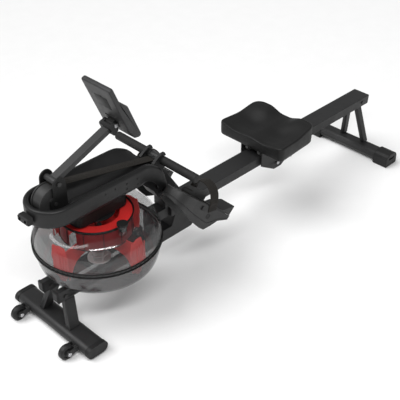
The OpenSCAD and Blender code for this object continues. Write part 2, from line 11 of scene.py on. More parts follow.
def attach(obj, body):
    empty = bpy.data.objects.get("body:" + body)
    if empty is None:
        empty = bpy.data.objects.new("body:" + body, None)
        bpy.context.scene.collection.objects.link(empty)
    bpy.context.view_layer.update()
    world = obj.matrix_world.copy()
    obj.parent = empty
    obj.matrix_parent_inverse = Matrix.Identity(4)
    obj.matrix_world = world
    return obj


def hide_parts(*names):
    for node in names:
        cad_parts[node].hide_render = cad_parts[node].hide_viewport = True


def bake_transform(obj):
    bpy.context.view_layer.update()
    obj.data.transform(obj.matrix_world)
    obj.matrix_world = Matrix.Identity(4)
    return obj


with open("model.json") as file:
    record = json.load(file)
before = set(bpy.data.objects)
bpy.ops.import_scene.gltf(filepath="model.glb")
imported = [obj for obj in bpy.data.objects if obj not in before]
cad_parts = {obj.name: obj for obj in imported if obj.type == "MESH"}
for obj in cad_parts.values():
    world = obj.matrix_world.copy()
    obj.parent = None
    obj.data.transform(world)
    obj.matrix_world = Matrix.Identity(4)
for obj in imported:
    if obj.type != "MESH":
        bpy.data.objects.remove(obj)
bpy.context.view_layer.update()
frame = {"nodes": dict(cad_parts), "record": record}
NODES = frame["nodes"]
MM = 0.001

# Places shared with the CAD source, in millimetres
TANK_X = -684
TANK_FOOT = (TANK_X, 0, 0)
COVER_X, COVER_R = -869.5, 98.7
ROLLER = (-879, 595)
BAR = (-373, 545)
TOE, FOOT_TILT = (-516, 581), 42.6
FOOT_IN, FOOT_OUT, HEEL_IN = 100, 215, 142
NOSE_S, FOOT_L, FOOT_WALL = 167, 460, 6
PANEL, PANEL_TILT = (-640, 947), 67
STRAP_START, STRAP_END = (-866.2, 650), (-396, 547.5)

# The part of a noise texture's 0-1 range that most of its values fall in
NOISE_SPAN = (0.3, 0.7)


# ---------------------------------------------------------------- materials
def material(name, build):
    """A node material; build(tree, shader) adds its detail."""
    mat = bpy.data.materials.new(name)
    mat.use_nodes = True
    tree = mat.node_tree
    shader = tree.nodes["Principled BSDF"]
    build(tree, shader)
    return mat


def add(tree, kind, **values):
    """A node with its settings: names that are sockets are set as inputs, the others as properties."""
    node = tree.nodes.new(kind)
    for key, value in values.items():
        if key in node.inputs:
            node.inputs[key].default_value = value
        else:
            setattr(node, key, value)
    return node


def noise_at(tree, scale, detail=4.0, roughness=0.55, stretch=(1, 1, 1)):
    """Noise in the object's own coordinates."""
    place = add(tree, "ShaderNodeTexCoord")
    mapping = add(tree, "ShaderNodeMapping")
    mapping.inputs["Scale"].default_value = stretch
    tree.links.new(place.outputs["Object"], mapping.inputs["Vector"])
    noise = add(tree, "ShaderNodeTexNoise", Scale=scale, Detail=detail, Roughness=roughness)
    tree.links.new(mapping.outputs["Vector"], noise.inputs["Vector"])
    return noise.outputs["Fac"]


def ramp(tree, source, low, high, low_colour, high_colour):
    """Two colours along a 0-1 source."""
    node = add(tree, "ShaderNodeValToRGB")
    node.color_ramp.elements[0].position = low
    node.color_ramp.elements[1].position = high
    node.color_ramp.elements[0].color = low_colour
    node.color_ramp.elements[1].color = high_colour
    tree.links.new(source, node.inputs["Fac"])
    return node.outputs["Color"]


def between(tree, source, low, high):
    """Noise spread over low to high."""
    node = add(tree, "ShaderNodeMapRange")
    node.inputs["From Min"].default_value = NOISE_SPAN[0]
    node.inputs["From Max"].default_value = NOISE_SPAN[1]
    node.inputs["To Min"].default_value = low
    node.inputs["To Max"].default_value = high
    tree.links.new(source, node.inputs["Value"])
    return node.outputs["Result"]


def bump(tree, shader, source, strength, distance):
    """A fine relief on the shader's surface; distance is in metres."""
    node = add(tree, "ShaderNodeBump", Strength=strength, Distance=distance)
    tree.links.new(source, node.inputs["Height"])
    tree.links.new(node.outputs["Normal"], shader.inputs["Normal"])


def tint(tree, shader, source, colour, spread, span=NOISE_SPAN):
    """Base colour that goes from darker to lighter than colour by spread, as source crosses span."""
    dark, light = [tuple(c * (1 + shift) for c in colour) + (1.0,) for shift in (-spread, spread)]
    tree.links.new(ramp(tree, source, *span, dark, light), shader.inputs["Base Color"])


def uneven_gloss(tree, shader, source, rough):
    """Roughness that varies with noise between the two values of rough."""
    tree.links.new(between(tree, source, *rough), shader.inputs["Roughness"])


def solid(name, colour, rough=(0.4, 0.55), metal=0.0, grain=900, spread=0.12, strength=0.25, specular=0.3):
    """Paint, plastic or rubber: mottled colour, uneven gloss and a fine grain."""
    def build(tree, shader):
        tint(tree, shader, noise_at(tree, 9.0), colour, spread)
        uneven_gloss(tree, shader, noise_at(tree, 26.0, 6.0), rough)
        shader.inputs["Metallic"].default_value = metal
        shader.inputs["Specular IOR Level"].default_value = specular
        bump(tree, shader, noise_at(tree, grain, 3.0), strength, 0.00012)
    return material(name, build)


def brushed(name, colour):
    """Bare metal with fine lines along X."""
    def build(tree, shader):
        streak = noise_at(tree, 40.0, 5.0, 0.6, (1, 60, 60))
        tint(tree, shader, streak, colour, 0.15)
        uneven_gloss(tree, shader, streak, (0.25, 0.42))
        shader.inputs["Metallic"].default_value = 1.0
        bump(tree, shader, streak, 0.15, 0.0001)
    return material(name, build)


def woven(name, colour):
    """Webbing: two crossed sets of threads."""
    def build(tree, shader):
        place = add(tree, "ShaderNodeTexCoord")
        waves = []
        for axis in ("X", "Y"):
            wave = add(tree, "ShaderNodeTexWave", Scale=420, Distortion=0.6, bands_direction=axis)
            tree.links.new(place.outputs["Object"], wave.inputs["Vector"])
            waves.append(wave.outputs["Fac"])
        mix = add(tree, "ShaderNodeMath", operation="MULTIPLY")
        tree.links.new(waves[0], mix.inputs[0])
        tree.links.new(waves[1], mix.inputs[1])
        tint(tree, shader, mix.outputs["Value"], colour, 0.3, (0.1, 0.9))
        uneven_gloss(tree, shader, noise_at(tree, 60.0), (0.75, 0.92))
        shader.inputs["Specular IOR Level"].default_value = 0.25
        bump(tree, shader, mix.outputs["Value"], 0.5, 0.0003)
    return material(name, build)


def clear(name, colour, alpha, gloss):
    """See-through plastic: a tinted body under an even share of mirror-like surface."""
    def build(tree, shader):
        tint(tree, shader, noise_at(tree, 5.0), colour, 0.06)
        shader.inputs["Roughness"].default_value = 0.2
        shader.inputs["Alpha"].default_value = alpha
        bump(tree, shader, noise_at(tree, 14.0, 2.0), 0.05, 0.002)
        mirror = add(tree, "ShaderNodeBsdfGlossy", Roughness=0.09)
        share = add(tree, "ShaderNodeMixShader")
        share.inputs["Fac"].default_value = gloss
        tree.links.new(shader.outputs["BSDF"], share.inputs[1])
        tree.links.new(mirror.outputs["BSDF"], share.inputs[2])
        tree.links.new(share.outputs["Shader"], tree.nodes["Material Output"].inputs["Surface"])
    return material(name, build)


MATS = {
    "frame_black": solid("powder_coat", (0.017, 0.017, 0.0174), (0.4, 0.52), grain=1400),
    "plastic_black": solid("moulded_black", (0.009, 0.009, 0.0093), (0.45, 0.6)),
    "rubber_black": solid("rubber", (0.01, 0.01, 0.01), (0.7, 0.85), grain=500, specular=0.25),
    "wheel_plastic": solid("wheel_plastic", (0.012, 0.012, 0.0125), (0.4, 0.55)),
    "steel_bright": brushed("zinc_steel", (0.4, 0.4, 0.41)),
    "screw_dark": solid("black_oxide", (0.012, 0.012, 0.012), (0.35, 0.5)),
    "tank_clear": clear("smoky_clear", (0.03, 0.031, 0.032), 0.18, 0.03),
    "bearing_white": solid("white_plastic", (0.85, 0.85, 0.84), (0.3, 0.45)),
    "rotor_red": solid("red_plastic", (0.6, 0.028, 0.026), (0.3, 0.45)),
    "pulley_grey": solid("grey_nylon", (0.03, 0.03, 0.03), (0.35, 0.5)),
    "cover_grey": solid("cover_plastic", (0.0085, 0.0085, 0.0087), (0.36, 0.48), grain=1600),
    "arm_grey": solid("arm_coat", (0.028, 0.028, 0.0284), (0.38, 0.48), grain=1400),
    "console_grey": solid("console_plastic", (0.026, 0.026, 0.0264), (0.4, 0.52)),
    "screen_glass": solid("screen", (0.01, 0.012, 0.015), (0.06, 0.12), strength=0.0),
    "bar_black": solid("bar_paint", (0.014, 0.014, 0.0143), (0.35, 0.5)),
    "grip_foam": solid("grip_foam", (0.012, 0.012, 0.012), (0.6, 0.75), grain=420, strength=0.5),
    "clip_steel": solid("clip_coat", (0.022, 0.022, 0.022), (0.35, 0.5)),
    "webbing": woven("webbing", (0.018, 0.0158, 0.0135)),
    "foot_grey": solid("foot_plastic", (0.017, 0.017, 0.017), (0.42, 0.56)),
    "seat_foam": solid("seat_skin", (0.007, 0.007, 0.007), (0.42, 0.55), grain=650, strength=0.4,
                       specular=0.25),
    "roller_grey": solid("roller_nylon", (0.1, 0.1, 0.1), (0.35, 0.5)),
}
# A darker copy of the rotor's red for the drum wall: painted shade on the same plastic as the lit top ring
PAINTED_SHADE_RED = solid("red_wall_painted_shade", (0.24, 0.008, 0.01), (0.25, 0.4))
# A paler copy of the rotor's red for the paddles: a painted haze of light seen through the dome, on the same
# plastic as the rest of the rotor
PAINTED_HAZE_RED = solid("red_paddle", (0.85, 0.07, 0.065), (0.35, 0.5))
DARK_PLASTIC = solid("deep_black", (0.006, 0.006, 0.006), (0.45, 0.6), specular=0.25)
DARK_STEEL = solid("dark_steel", (0.03, 0.03, 0.03), (0.3, 0.45), metal=0.4)
BOWL_CLEAR = clear("smoky_bowl", (0.05, 0.051, 0.053), 0.46, 0.03)
LOOKS = {"head_pins": DARK_STEEL, "frame_bolts": DARK_STEEL, "pivot_bracket": DARK_PLASTIC,
         "drive_housing": DARK_PLASTIC, "filler_plug": DARK_PLASTIC}


# ---------------------------------------------------------------- mesh helpers
def piece(name, form, mat, body, stands_for=(), sharp=38, shell=0.0, look=None):
    """A mesh piece from (verts, faces) in mm, with the material of the record slot mat, that rides on body
    if one is named.

    stands_for are the CAD nodes it is shown for, sharp is the angle in degrees from which an edge stays
    sharp, shell is a wall thickness in mm for an open sheet, and look is shown instead of mat's own look.
    """
    verts, faces = form
    mesh = bpy.data.meshes.new(name)
    mesh.from_pydata([Vector(v) * MM for v in verts], [], [tuple(f) for f in faces])
    tidy = bmesh.new()
    tidy.from_mesh(mesh)
    bmesh.ops.remove_doubles(tidy, verts=tidy.verts, dist=0.00002)
    bmesh.ops.recalc_face_normals(tidy, faces=tidy.faces)
    tidy.to_mesh(mesh)
    tidy.free()
    mesh.shade_smooth()
    mesh.set_sharp_from_angle(angle=math.radians(sharp))
    mesh.materials.append(look or MATS[mat])
    obj = bpy.data.objects.new(name, mesh)
    bpy.context.scene.collection.objects.link(obj)
    if shell:
        solidify = obj.modifiers.new("wall", "SOLIDIFY")
        solidify.thickness = shell * MM
        solidify.offset = -1
    if stands_for:
        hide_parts(*stands_for)
    if body:
        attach(obj, body)
    return obj


def soften(obj, width):
    """Rounded edges of width mm, as a modifier, so the mesh below stays as it is."""
    bevel = obj.modifiers.new("edges", "BEVEL")
    bevel.width = width * MM
    bevel.segments = 3
    bevel.limit_method = "ANGLE"
    bevel.angle_limit = math.radians(33)


def merged(forms):
    """Several (verts, faces) forms as one."""
    verts, faces = [], []
    for form_verts, form_faces in forms:
        base = len(verts)
        verts += [Vector(v) for v in form_verts]
        faces += [tuple(i + base for i in face) for face in form_faces]
    return verts, faces


def moved(form, matrix):
    """The form with a matrix applied to its points."""
    verts, faces = form
    return [matrix @ Vector(v) for v in verts], faces


def about_tank(degrees):
    """Matrix that moves the origin to the tank's axis, after a turn about Z."""
    return Matrix.Translation(TANK_FOOT) @ Matrix.Rotation(math.radians(degrees), 4, "Z")


def spun(forms, count, first=0.0):
    """Copies of forms drawn about the origin, spread evenly round the tank's axis from first degrees on."""
    copies = []
    for k in range(count):
        turn = about_tank(first + 360 / count * k)
        copies += [moved(form, turn) for form in forms]
    return copies


def mirrored(form):
    """The form and its reflection in the middle plane."""
    return merged([form, moved(form, Matrix.Scale(-1, 4, (0, 1, 0)))])


def loft(rings, closed=True, caps=True):
    """Skin over rings of equal length; closed joins each ring's ends, caps fills the first and last."""
    size = len(rings[0])
    verts = [Vector(p) for ring in rings for p in ring]
    faces = []
    for k in range(len(rings) - 1):
        for i in range(size if closed else size - 1):
            j = (i + 1) % size
            faces.append((k * size + i, k * size + j, (k + 1) * size + j, (k + 1) * size + i))
    if caps:
        faces.append(tuple(range(size))[::-1])
        faces.append(tuple(range((len(rings) - 1) * size, len(rings) * size)))
    return verts, faces


def lathe(profile, centre=TANK_FOOT, steps=96, across=False):
    """A closed (radius, height) profile turned about Z, or about Y where across is set."""
    rings = []
    for k in range(steps + 1):
        a = 2 * math.pi * k / steps
        if across:
            ring = [Vector((r * math.sin(a), h, r * math.cos(a))) for r, h in profile]
        else:
            ring = [Vector((r * math.cos(a), r * math.sin(a), h)) for r, h in profile]
        rings.append([point + Vector(centre) for point in ring])
    return loft(rings, caps=False)


def fillet(corners, radius, steps=5):
    """A closed 2D outline with its corners rounded; radius is one number or one per corner."""
    out = []
    for i, corner in enumerate(corners):
        r = radius[i] if isinstance(radius, (list, tuple)) else radius
        p, a, b = Vector(corner), Vector(corners[i - 1]), Vector(corners[(i + 1) % len(corners)])
        to_a, to_b = (a - p).normalized(), (b - p).normalized()
        half = to_a.angle(to_b) / 2
        reach = min(r / max(math.tan(half), 1e-3), (a - p).length * 0.48, (b - p).length * 0.48)
        if reach < 0.01:
            out.append(p)
            continue
        start, end = p + to_a * reach, p + to_b * reach
        for k in range(steps + 1):
            t = k / steps
            out.append((1 - t) ** 2 * start + 2 * t * (1 - t) * p + t * t * end)
    return out


def shrunk(outline, amount):
    """A 2D outline moved inwards by amount, vertex by vertex."""
    size = len(outline)
    area = sum(outline[i - 1][0] * outline[i][1] - outline[i][0] * outline[i - 1][1] for i in range(size))
    turn = 1 if area > 0 else -1
    out = []
    for i in range(size):
        along = Vector(outline[(i + 1) % size]) - Vector(outline[i - 1])
        inward = Vector((-along.y, along.x)).normalized() * turn
        out.append(Vector(outline[i]) + inward * amount)
    return out


def plate(outline, low, high, edge=0.0, steps=3):
    """An outline in X and Z, extruded along Y with both rims rounded by edge."""
    arc = [(edge * (1 - math.sin(k * math.pi / 2 / steps)), edge * (1 - math.cos(k * math.pi / 2 / steps)))
           for k in range(steps + 1)] if edge else [(0, 0)]
    levels = [(low + dy, inset) for inset, dy in arc] + [(high - dy, inset) for inset, dy in arc[::-1]]
    rings = []
    for y, inset in levels:
        ring = shrunk(outline, inset) if inset else outline
        rings.append([Vector((p[0], y, p[1])) for p in ring])
    return loft(rings)


def block(low, high):
    """A box between two corners."""
    (x0, y0, z0), (x1, y1, z1) = low, high
    return plate([(x0, z0), (x1, z0), (x1, z1), (x0, z1)], y0, y1)


def within(value):
    """The value held between 0 and 1."""
    return max(0.0, min(1.0, value))


def eased(value):
    """The value held between 0 and 1, with a soft start and end."""
    t = within(value)
    return t * t * (3 - 2 * t)


def placed(origin, tilt):
    """Matrix of a local frame at origin (x, z), turned about Y by tilt degrees."""
    return Matrix.Translation((origin[0], 0, origin[1])) @ Matrix.Rotation(math.radians(tilt), 4, "Y")


# ---------------------------------------------------------------- tank and rotor
RIM_R = 143


def build_tank():
    """The dome with its filler neck, the lower bowl, and the rim round the dome's opening."""
    dome_outer = [(RIM_R, 447), (178, 447), (190, 445.5), (201, 441), (211, 435), (220, 426.5), (228, 416),
                  (235, 402), (240, 388), (243.5, 372), (245.5, 356), (246.5, 340), (247, 334)]
    dome_inner = [(RIM_R, 443), (177, 443), (189, 441.5), (199, 437.5), (208, 432), (217, 423.5),
                  (224.5, 413.5), (231, 400.5), (236, 386.5), (239.5, 371), (241.5, 355.5), (242.5, 340),
                  (243, 334)]
    neck_at = (TANK_X - 12, -170, 0)
    neck = [(14.2, 438), (17, 438), (17, 466), (18.5, 467), (18.5, 469), (17, 470), (17, 475), (14.2, 475)]
    forms = [lathe(dome_outer + dome_inner[::-1]), lathe(neck, neck_at, 48)]
    piece("dome_shell", merged(forms), "tank_clear", "frame", ("tank_dome",))
    bowl_outer = [(2, 220), (196, 220), (206, 222), (215, 226), (223, 234), (229, 246), (233.5, 260),
                  (238, 282), (241.5, 304), (243.5, 328)]
    bowl_inner = [(2, 224), (196, 224), (205, 226), (212.5, 229.5), (219.5, 236.5), (225, 248),
                  (229.5, 261.5), (234, 283), (237.5, 305), (239.5, 328)]
    bowl = lathe(bowl_outer + bowl_inner[::-1])
    piece("bowl_shell", bowl, "tank_clear", "frame", ("tank_bowl",), look=BOWL_CLEAR)
    build_flange()
    rim = lathe([(RIM_R - 3.4, 440.6), (RIM_R + 0.6, 440.6), (RIM_R + 1.6, 447), (RIM_R, 449),
                 (RIM_R - 2.4, 449), (RIM_R - 3.4, 447)])
    piece("tank_rim", rim, "rubber_black", "frame", look=DARK_PLASTIC)


def build_flange():
    """Where bowl and dome meet: two dark rings joined by teeth, and a lighter seal between them."""
    fine, teeth = 128, 72
    lower = [(239, 322), (248, 322), (250, 323), (250, 325), (248.5, 326), (239, 326)]
    upper = [(242, 336), (248.5, 336), (250, 337), (250, 339.5), (248.5, 340.5), (246.8, 340.5), (242, 339)]
    seal = [(240, 326), (244, 326), (244, 336), (242, 336)]
    tooth = block((243, -0.8, 325.5), (249, 0.8, 336.5))
    piece("flange_seal", lathe(seal, steps=fine), "rubber_black", "frame", look=MATS["roller_grey"])
    forms = [lathe(ring, steps=fine) for ring in (lower, upper)] + spun([tooth], teeth)
    piece("flange_band", merged(forms), "rubber_black", "frame", ("tank_gasket",), look=DARK_PLASTIC)


def build_rotor():
    """Top ring on a cone and hub, four paddles, and the drum wall with its ribs."""
    ring = [(91, 436.5), (136, 437), (139, 436), (139, 439.5), (136, 440.4), (91, 440.2)]
    cone = [(24, 372), (88, 372), (92, 436), (89, 436), (85, 376), (24, 376)]
    hub = [(8.2, 300), (24, 300), (24, 374), (8.2, 374)]
    wheel = merged([lathe(ring), lathe(cone), lathe(hub, steps=48)])
    piece("rotor_wheel", wheel, "rotor_red", "rotor_body", ("rotor",))
    build_paddles()
    build_drum()


def build_paddles():
    """Each paddle is a curved gusset from the hub outwards and a ribbed face across its end."""
    reach, half_thick = 196, 2
    web_line = [(22, 366), (reach, 366), (reach, 262), (176, 250), (156, 254), (146, 272), (128, 290),
                (100, 299), (60, 303), (22, 303)]
    face_line = [(-14, 398), (12, 402), (28, 396), (42, 399), (46, 372), (52, 345), (46, 318), (48, 300),
                 (44, 262), (24, 257), (20, 244), (8, 240), (-6, 244), (-8, 262), (-20, 268), (-26, 300),
                 (-30, 340), (-22, 372)]
    web = plate(fillet(web_line, 4, 3), -half_thick, half_thick)
    face = plate(fillet(face_line, 4, 3), reach, reach + 4)
    face = moved(face, Matrix.Rotation(math.radians(-90), 4, "Z"))
    ribs = [block((reach + 3, y - 1, 262), (reach + 7, y + 1, 372)) for y in (-12, 2, 16, 30)]
    paddles = spun([web, face] + ribs, 4, 11)
    # The paddles take the paler red copy: a painted haze of light over the same red plastic
    piece("rotor_paddles", merged(paddles), "rotor_red", "rotor_body", look=PAINTED_HAZE_RED)


def build_drum():
    """A wall round the rotor with a gap of 16 degrees, in a red darkened with painted shade, and upright
    ribs between two hoops.
    """
    start, step, steps = -160, 4, 86
    wall = ((136.5, 364), (139.5, 364), (139.5, 436.5), (136.5, 436.5))
    rings = []
    for k in range(steps + 1):
        turn = about_tank(start + step * k)
        rings.append([turn @ Vector((r, 0, z)) for r, z in wall])
    # The drum wall takes the darker red copy: painted shade on its upright side
    piece("rotor_drum", loft(rings), "rotor_red", "rotor_body", look=PAINTED_SHADE_RED)
    bars = spun([block((138.8, -1.1, 362), (141, 1.1, 438))], 12, 2)
    for low in (361, 437.5):
        bars.append(lathe([(138.6, low), (141, low), (141, low + 2.5), (138.6, low + 2.5)]))
    piece("drum_ribs", merged(bars), "rubber_black", "rotor_body", look=DARK_PLASTIC)


def build_bearing():
    """White bearing cage on the bowl floor and the light end of the speed sensor."""
    foot = [(8.2, 224), (46, 224), (46, 228), (22, 229), (20, 258), (8.2, 258)]
    hoop = [(30, 246), (36, 246), (36, 252), (30, 252)]
    post = block((31, -2.5, 228), (35, 2.5, 268))
    forms = [lathe(line, steps=64) for line in (foot, hoop)] + spun([post], 6, 15)
    piece("bearing_cage", merged(forms), "bearing_white", "frame", ("lower_bearing",))
    tip_at = (TANK_X - 45, -76, 424)
    tip = lathe([(0.2, -6), (4, -5), (5.5, -2), (5.5, 5), (0.2, 5)], tip_at, 24)
    piece("sensor_tip", tip, "bearing_white", "frame")


# ---------------------------------------------------------------- head cover
COVER_TAIL_X = -527
DECK_STEP_X = -815


def cover_columns():
    """Columns round the cover from the near tail to the far tail: (top, bottom, inward), in mm."""
    tail_top = [(-505, 600), (-492, 597), (-478, 591.5), (-462, 583), (-447, 573), (-434, 560.5),
                (-423, 545.5), (-414, 529), (-407.5, 512), (-402, 494), (-398, 476), (-395, 458)]
    tail_low = [(COVER_TAIL_X, 533), (-512, 535.5), (-500, 534), (-487, 527), (-474, 517.5), (-463, 506.5),
                (-454, 495), (-447.5, 483), (-443, 475), (-439.5, 468), (-436.5, 462), (-434, 457)]
    tail_half, side_steps, nose_steps = 92, 16, 32
    sides = []
    for side in (-1, 1):
        inward = Vector((0, -side, 0))
        run = []
        for (tx, tz), (bx, bz) in zip(tail_top[::-1], tail_low[::-1]):
            y = side * (tail_half + (COVER_R - tail_half) * within((-500 - tx) / 50 + 0.5))
            run.append((Vector((tx, y, tz)), Vector((bx, y, bz)), inward))
        for k in range(side_steps):
            x = COVER_TAIL_X + (COVER_X - COVER_TAIL_X) * k / side_steps
            top = Vector((x, side * COVER_R, 601 if x < -560 else 600.6))
            run.append((top, Vector((x - 12, side * COVER_R, 533.5)), inward))
        sides.append(run)
    nose = []
    for k in range(nose_steps + 1):
        a = math.radians(-90 - 180 * k / nose_steps)
        out = Vector((math.cos(a), math.sin(a), 0))
        point = Vector((COVER_X, 0, 0)) + out * COVER_R
        nose.append((point + Vector((0, 0, 601)), point + Vector((0, 0, 535)), -out))
    return sides[0] + nose + sides[1][::-1]


def deck_drop(x, y, top):
    """How far the deck lies below the top edge: a pocket round the roller, then a sloping valley."""
    valley = max(0.0, top - (571 - 0.0594 * (x + 830)))
    drop = valley * within((77 - abs(y)) / 52)
    if x < DECK_STEP_X:
        in_pocket = abs(x - ROLLER[0]) < 63 and abs(y) < 33
        depth = 66.5 if in_pocket else 41.0
        drop += (depth - drop) * within((DECK_STEP_X - x) / 22)
    return drop


def build_cover():
    """One shell: side wall, rounded rim, seam, and the deck that meets itself on the middle plane."""
    edge = [(60, 0), (36, 0), (11, 0), (6.5, 0.6), (3, 2.4), (0.8, 5.4), (0, 9), (0, 13.4), (1.6, 14),
            (1.6, 15), (0, 15.6), (0.4, 18.5), (2.5, 20.6)]
    deck = [22, 26, 32, 40, 48, 56, 62, 66, 70, 76, 82, 88, 94, COVER_R]
    rings = []
    for top, bottom, inward in cover_columns():
        down = (bottom - top).normalized()
        ring = [bottom] + [top + inward * inset + down * depth for depth, inset in edge]
        reach = abs(top.y) if abs(inward.x) < 1e-6 else COVER_R
        for inset in deck:
            spot = top + inward * min(inset * reach / COVER_R, reach)
            drop = max(deck_drop(spot.x, spot.y, top.z), 0.4)
            if inset == deck[0] and spot.x < DECK_STEP_X:
                drop = min(drop, 7)
            ring.append(spot + down * drop)
        rings.append(ring)
    shell = loft(rings, closed=False, caps=False)
    piece("cover_shell", shell, "cover_grey", "frame", ("head_cover",), sharp=50, shell=3)


# ---------------------------------------------------------------- strap
def webbing_section(low, high, half_thick, corner):
    """Section of a flat strap from low to high across its width, as (across, out) points."""
    line = [(low, -half_thick), (high, -half_thick), (high, half_thick), (low, half_thick)]
    return fillet(line, corner, 2)


def build_pull_strap():
    """The strap from the roller to the handle, and the turns wound on the roller."""
    half_width, steps = 20.5, 40
    start = Vector((STRAP_START[0], 0, STRAP_START[1]))
    end = Vector((STRAP_END[0], 0, STRAP_END[1]))
    up = Vector((-(end - start).z, 0, (end - start).x)).normalized()
    section = webbing_section(-half_width, half_width, 1.1, 0.9)
    rings = []
    for k in range(steps + 1):
        centre = start.lerp(end, k / steps)
        rings.append([centre + Vector((0, p[0], 0)) + up * p[1] for p in section])
    band = piece("strap_band", loft(rings), "webbing", None, ("pull_strap",))
    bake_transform(band)
    turns = [(46.2, -half_width), (53, -half_width), (54.5, 1 - half_width), (54.5, half_width - 1),
             (53, half_width), (46.2, half_width)]
    wound = lathe(turns, (ROLLER[0], 0, ROLLER[1]), 72, across=True)
    piece("strap_wound", wound, "webbing", "roller", look=MATS["pulley_grey"])


def build_foot_straps():
    """A strap over each foot plate: a half circle on two legs that bulge outwards a little."""
    radius, straight = 58.8, 20
    quarter, legs, leg_step = 8, 8, 6.2
    section = webbing_section(0, 46, 1.3, 1.1)
    arch = []
    for k in range(-quarter - legs, quarter + legs + 1):
        if abs(k) > quarter:
            side = math.copysign(1, k)
            drop = (abs(k) - quarter) * leg_step
            bulge = 3.2 * math.sin(math.pi * min(drop / 22, 1))
            y, z = side * (radius + bulge), straight - drop
            out = Vector((0, side, 0))
        else:
            a = math.radians(90 - k * 90 / quarter)
            out = Vector((0, math.cos(a), math.sin(a)))
            y, z = radius * out.y, straight + radius * out.z
        arch.append([Vector((x, y, z)) + out * t for x, t in section])
    local = Matrix.Translation((299, (FOOT_IN + FOOT_OUT) / 2, 0))
    local = local @ Matrix.Rotation(math.radians(-30), 4, "Y")
    strap = moved(moved(loft(arch), local), placed(TOE, FOOT_TILT))
    piece("foot_webbing", mirrored(strap), "webbing", "frame", ("foot_straps",))


# ---------------------------------------------------------------- seat
def seat_outline():
    """Plan of the cushion, wider in front, with its long sides cut into steps of 14 mm or a little more."""
    corners = [(173, -183), (424, -168), (424, 168), (173, 183)]
    line = fillet(corners, [26, 52, 52, 26], 8)
    dense = []
    for i, p in enumerate(line):
        q = line[(i + 1) % len(line)]
        parts = max(1, int((q - p).length / 14))
        dense += [p.lerp(q, k / parts) for k in range(parts)]
    return dense


def seat_top(x, y):
    """Height of the moulded top: low wavy front, two broad lobes behind, a shallow valley between them."""
    back = eased((x - 275) / 125)
    lobe = eased((abs(y) - 18) / 78)
    front = 396 + 3.4 * math.cos(y / 26) + 10 * (abs(y) / 180) ** 3
    rear = 406 + 20 * lobe
    dish = 7 * math.exp(-(((x - 285) / 62) ** 2 + ((abs(y) - 80) / 62) ** 2))
    return front * (1 - back) + rear * back - dish


def build_seat():
    """The cushion: a rounded skirt below, then the rim and the moulded top, closed towards its middle."""
    skirt = [(354, 24), (352, 18), (345, 12), (344, 8), (345, 4), (349, 1), (366, 0)]
    rim = [(-10, 0), (-4.5, 0.6), (-1.5, 2.4), (0, 6), (-1.5, 12)]
    middle_out = (0.86, 0.78, 0.68, 0.57, 0.46, 0.35, 0.24, 0.13, 0.04)
    outer = seat_outline()
    centre = Vector((300, 0))

    def pulled_in(inset):
        return [p + (centre - p).normalized() * inset for p in outer]

    def on_top(points, rise=0):
        return [Vector((q.x, q.y, seat_top(q.x, q.y) + rise)) for q in points]

    rings = [[Vector((*q, z)) for q in pulled_in(inset)] for z, inset in skirt]
    rings += [on_top(pulled_in(inset), rise) for rise, inset in rim]
    rings += [on_top([centre + (p - centre) * share for p in outer]) for share in middle_out]
    pad = piece("seat_pad", loft(rings), "seat_foam", "seat", ("seat_cushion",), sharp=60)


# ---------------------------------------------------------------- console, handle and feet
def build_console():
    """Rounded slab, a smooth pod on the rower's side, a plain battery cover and the hinge plate."""
    at = placed(PANEL, PANEL_TILT)
    low, high, half, thick, edge = -7, 215, 77, 20, 6
    rounding = [(edge * (1 - math.sin(k * math.pi / 8)), edge * (1 - math.cos(k * math.pi / 8)))
                for k in range(5)]
    levels = [(dz, inset) for inset, dz in rounding] + [(thick - dz, inset) for inset, dz in rounding[::-1]]
    rings = []
    for z, inset in levels:
        corners = [(low + inset, -half + inset), (high - inset, -half + inset),
                   (high - inset, half - inset), (low + inset, half - inset)]
        rings.append([Vector((*p, z)) for p in fillet(corners, 11 - inset * 0.7, 6)])
    slab = loft(rings)
    pod_corners = [(58, 18), (106, 43), (248, 43), (255, 36), (254, 26), (244, 10), (216, 3), (190, 8),
                   (64, 8)]
    pod_line = fillet(pod_corners, [16, 18, 8, 8, 10, 12, 8, 6, 6], 5)
    pod = plate(pod_line, -76.5, 76.5, 8, 4)
    lug_line = [(164, -8), (164, 4), (182, 4), (182, -16), (178, -23), (168, -23), (164, -16)]
    lug = plate(fillet(lug_line, 4), -18, 18, 2)
    cover = plate(fillet([(48, -1), (104, -1), (104, 2), (48, 2)], 1, 2), -34, 34, 1.2, 2)
    latch = plate(fillet([(42, -0.6), (47, -0.6), (47, 2), (42, 2)], 0.5, 2), -9, 9, 0.5, 2)
    hinge = plate(fillet([(151, -2), (195, -2), (195, 2), (151, 2)], 1, 2), -30, 30, 1, 2)
    piece("console_shell", moved(merged([slab, pod]), at), "console_grey", "console", ("console_body",))
    piece("battery_cover", moved(merged([cover, latch]), at), "console_grey", "console", look=DARK_PLASTIC)
    piece("console_hinge", moved(merged([hinge, lug]), at), "console_grey", "console", look=DARK_PLASTIC)


def build_grips():
    """A foam tube with a closed, rounded end on each half of the handlebar."""
    inside, outside, start, end = 12.6, 17.5, 24, 226
    profile = [(inside, start), (15.5, start), (outside, start + 2), (outside, end - 5), (16.6, end - 2),
               (14, end - 0.4), (10, end), (0.5, end), (0.5, end - 2.5), (inside, end - 2.5)]
    tube = lathe(profile, (BAR[0], 0, BAR[1]), 48, across=True)
    piece("grip_tubes", mirrored(tube), "grip_foam", "handle", ("grips",))


